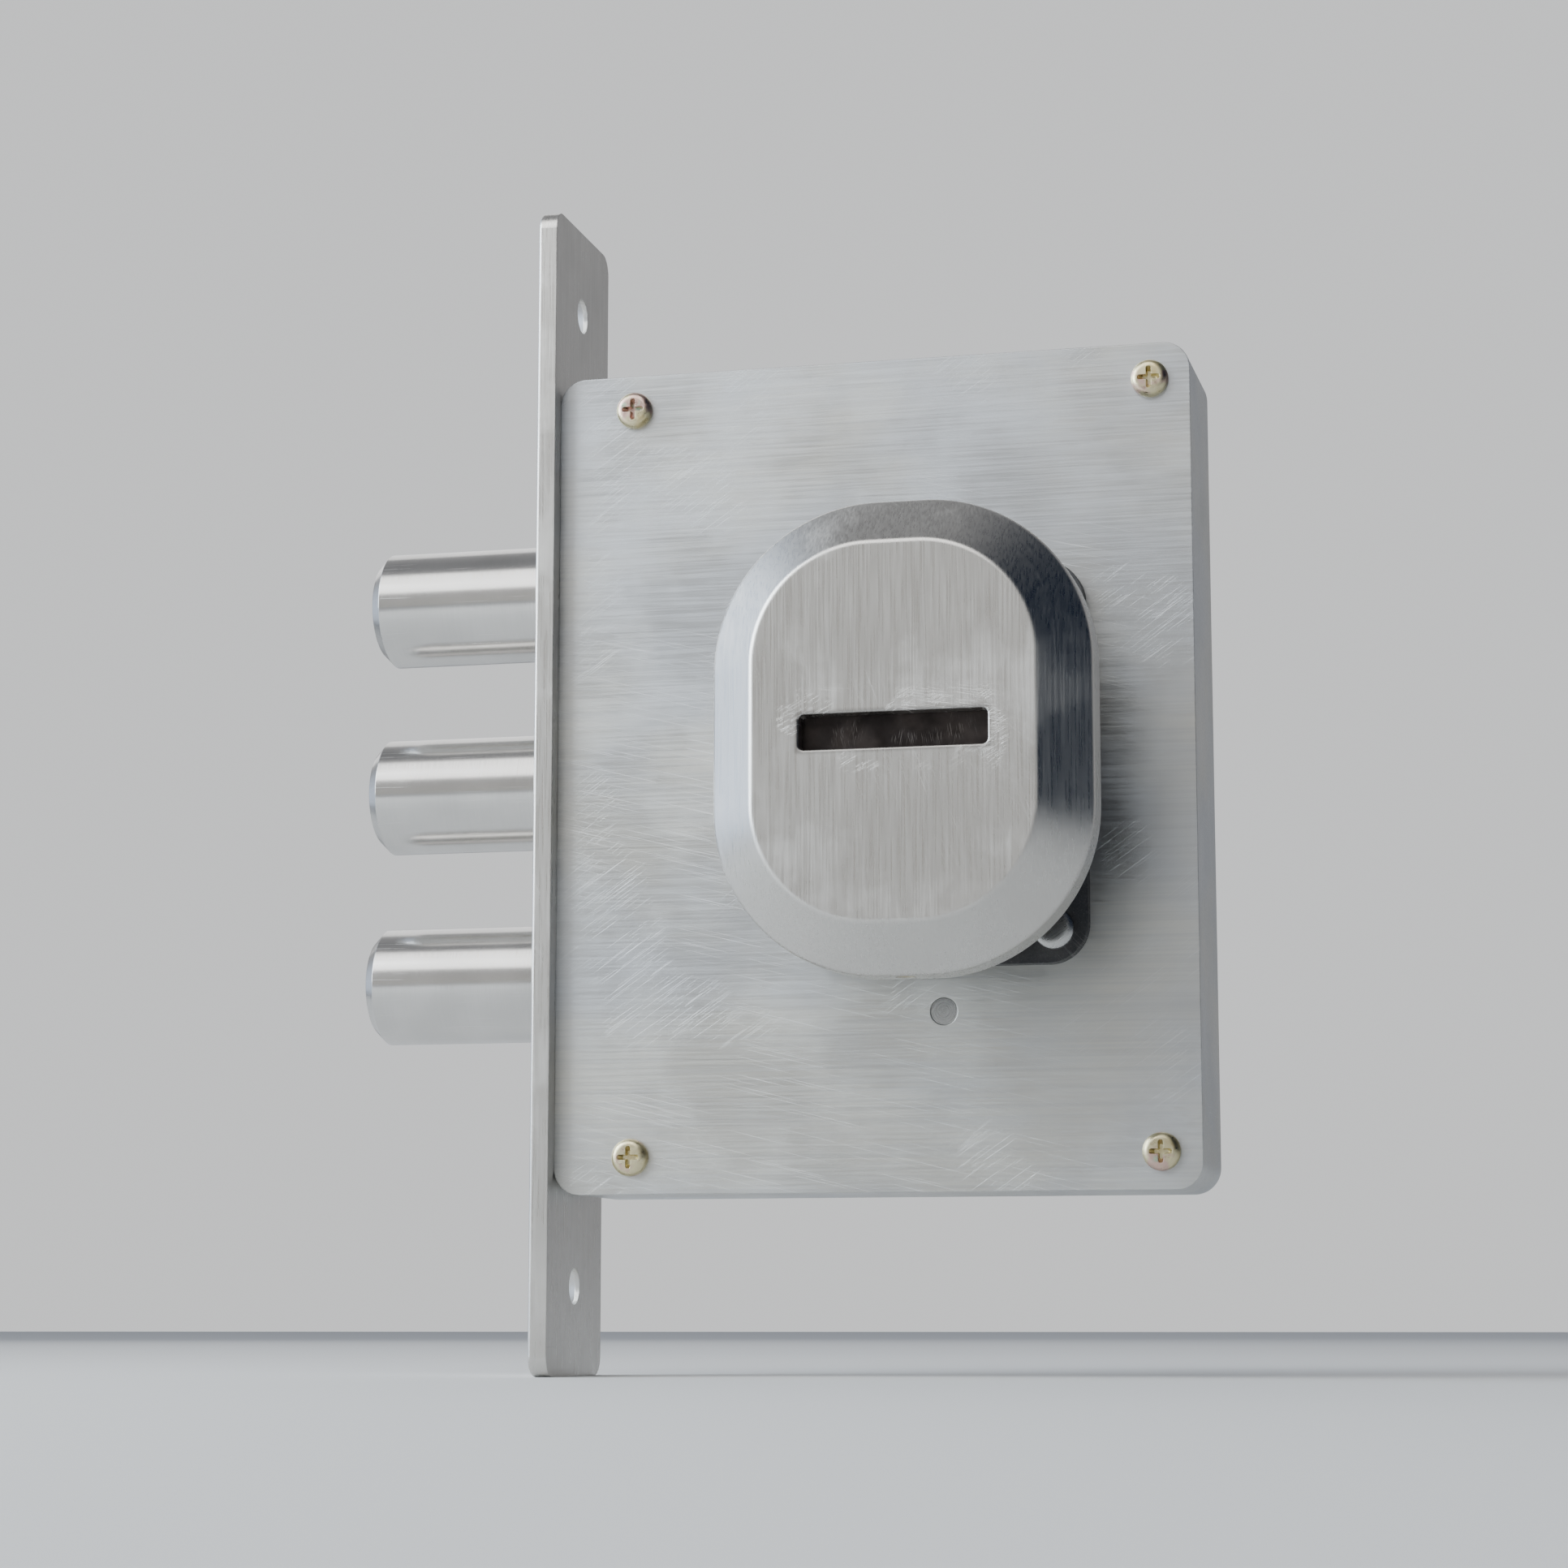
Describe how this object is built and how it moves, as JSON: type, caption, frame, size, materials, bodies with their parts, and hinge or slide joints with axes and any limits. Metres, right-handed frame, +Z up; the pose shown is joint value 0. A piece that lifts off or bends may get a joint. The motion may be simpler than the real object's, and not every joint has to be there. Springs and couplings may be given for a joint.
{
  "type": "mortise deadbolt lock",
  "caption": "Mortise deadbolt for a steel entrance door: bolts thrown by a double-bit key through a gear train and lever pack, with oval escutcheons on both sides.",
  "frame": {"origin": "on the key axis, in the plane of the door's outside face, which the outside escutcheon's back rests on", "axes": "-X points out of the door's lock edge, the way the bolts are thrown; +Y points from the outside of the door to the inside; +Z is up"},
  "size_m": [0.1299, 0.0927, 0.18],
  "materials": {
    "satin_nickel": "satin brushed nickel plate",
    "armour_steel": "hardened steel, dark phosphate",
    "shutter_black": "blackened steel",
    "zinc_plate": "clear zinc-plated sheet steel",
    "bright_steel": "turned steel, bright nickel plate",
    "zinc_screw": "yellow zinc-plated screw steel",
    "spring_steel": "oiled spring wire",
    "lever_brass": "stamped brass sheet"
  },
  "bodies": {
    "lock_body": {"case_body": "zinc_plate", "case_cover": "zinc_plate", "case_pillars": "bright_steel", "cover_screws": "zinc_screw", "detent_spring": "spring_steel", "divider_plate": "zinc_plate", "flap_rivet": "satin_nickel", "forend": "satin_nickel", "forend_rivets": "bright_steel", "hard_plate": "armour_steel", "hard_plate_rivets": "bright_steel", "inner_base": "zinc_plate", "inner_cover": "satin_nickel", "inner_grub_screw": "zinc_screw", "inner_nuts": "bright_steel", "inner_screws": "zinc_screw", "lever_posts": "bright_steel", "lower_guide_post": "bright_steel", "outer_base": "armour_steel", "outer_cover": "satin_nickel", "outer_grub_screw": "zinc_screw", "outer_nuts": "bright_steel", "outer_screws": "zinc_screw", "shutter_springs": "spring_steel", "upper_guide_post": "bright_steel"},
    "bolt_assembly": {"top_bolt": "bright_steel", "middle_bolt": "bright_steel", "bottom_bolt": "bright_steel", "bolt_carriage": "zinc_plate", "carriage_screws": "zinc_screw", "bolt_stump": "bright_steel"},
    "key_gear_body": {"key_gear": "armour_steel"},
    "transfer_gear": {"transfer_wheel": "bright_steel", "transfer_pinion": "bright_steel"},
    "shutter": {"outer_shutter": "shutter_black"},
    "flap": {"inner_flap": "satin_nickel"},
    "lever_1_body": {"lever_1": "lever_brass", "lever_spring_1": "spring_steel"},
    "lever_2_body": {"lever_2": "lever_brass", "lever_spring_2": "spring_steel"},
    "lever_3_body": {"lever_3": "lever_brass", "lever_spring_3": "spring_steel"},
    "lever_4_body": {"lever_4": "lever_brass", "lever_spring_4": "spring_steel"},
    "lever_5_body": {"lever_5": "lever_brass", "lever_spring_5": "spring_steel"}
  },
  "joints": [
    {"name": "key_gear_turn", "type": "hinge", "parent": "lock_body", "child": "key_gear_body", "pos_m": [0, 0.028, 0], "axis": [0, 1, 0], "range_deg": [0, 360]},
    {"name": "transfer_turn", "type": "hinge", "parent": "lock_body", "child": "transfer_gear", "pos_m": [0, 0.035, -0.0365], "axis": [0, 1, 0], "range_deg": [-331.58, 0]},
    {"name": "bolt_throw", "type": "slide", "parent": "lock_body", "child": "bolt_assembly", "axis": [1, 0, 0], "range_m": [0, 0.02894], "deforming": ["detent_spring"]},
    {"name": "lever_1_lift", "type": "slide", "parent": "lock_body", "child": "lever_1_body", "axis": [0, 0, 1], "range_m": [-0.003, 0], "stiffness_N_per_m": 40, "springref_m": -0.015, "deforming": ["lever_spring_1"]},
    {"name": "lever_2_lift", "type": "slide", "parent": "lock_body", "child": "lever_2_body", "axis": [0, 0, 1], "range_m": [-0.003, 0], "stiffness_N_per_m": 40, "springref_m": -0.015, "deforming": ["lever_spring_2"]},
    {"name": "lever_3_lift", "type": "slide", "parent": "lock_body", "child": "lever_3_body", "axis": [0, 0, 1], "range_m": [-0.003, 0], "stiffness_N_per_m": 40, "springref_m": -0.015, "deforming": ["lever_spring_3"]},
    {"name": "lever_4_lift", "type": "slide", "parent": "lock_body", "child": "lever_4_body", "axis": [0, 0, 1], "range_m": [-0.003, 0], "stiffness_N_per_m": 40, "springref_m": -0.015, "deforming": ["lever_spring_4"]},
    {"name": "lever_5_lift", "type": "slide", "parent": "lock_body", "child": "lever_5_body", "axis": [0, 0, 1], "range_m": [-0.003, 0], "stiffness_N_per_m": 40, "springref_m": -0.015, "deforming": ["lever_spring_5"]},
    {"name": "shutter_slide", "type": "slide", "parent": "lock_body", "child": "shutter", "axis": [0, 0, -1], "range_m": [0, 0.008], "stiffness_N_per_m": 40, "springref_m": -0.006, "deforming": ["shutter_springs"]},
    {"name": "flap_swing", "type": "hinge", "parent": "lock_body", "child": "flap", "pos_m": [0, 0.0789, 0.02], "axis": [0, 1, 0], "range_deg": [-100, 100]}
  ],
  "couplings": [
    {"joint": "transfer_turn", "follows": "bolt_throw", "rad_per_m": -200},
    {"joint": "key_gear_turn", "follows": "bolt_throw", "rad_per_m": 217.14}
  ]
}
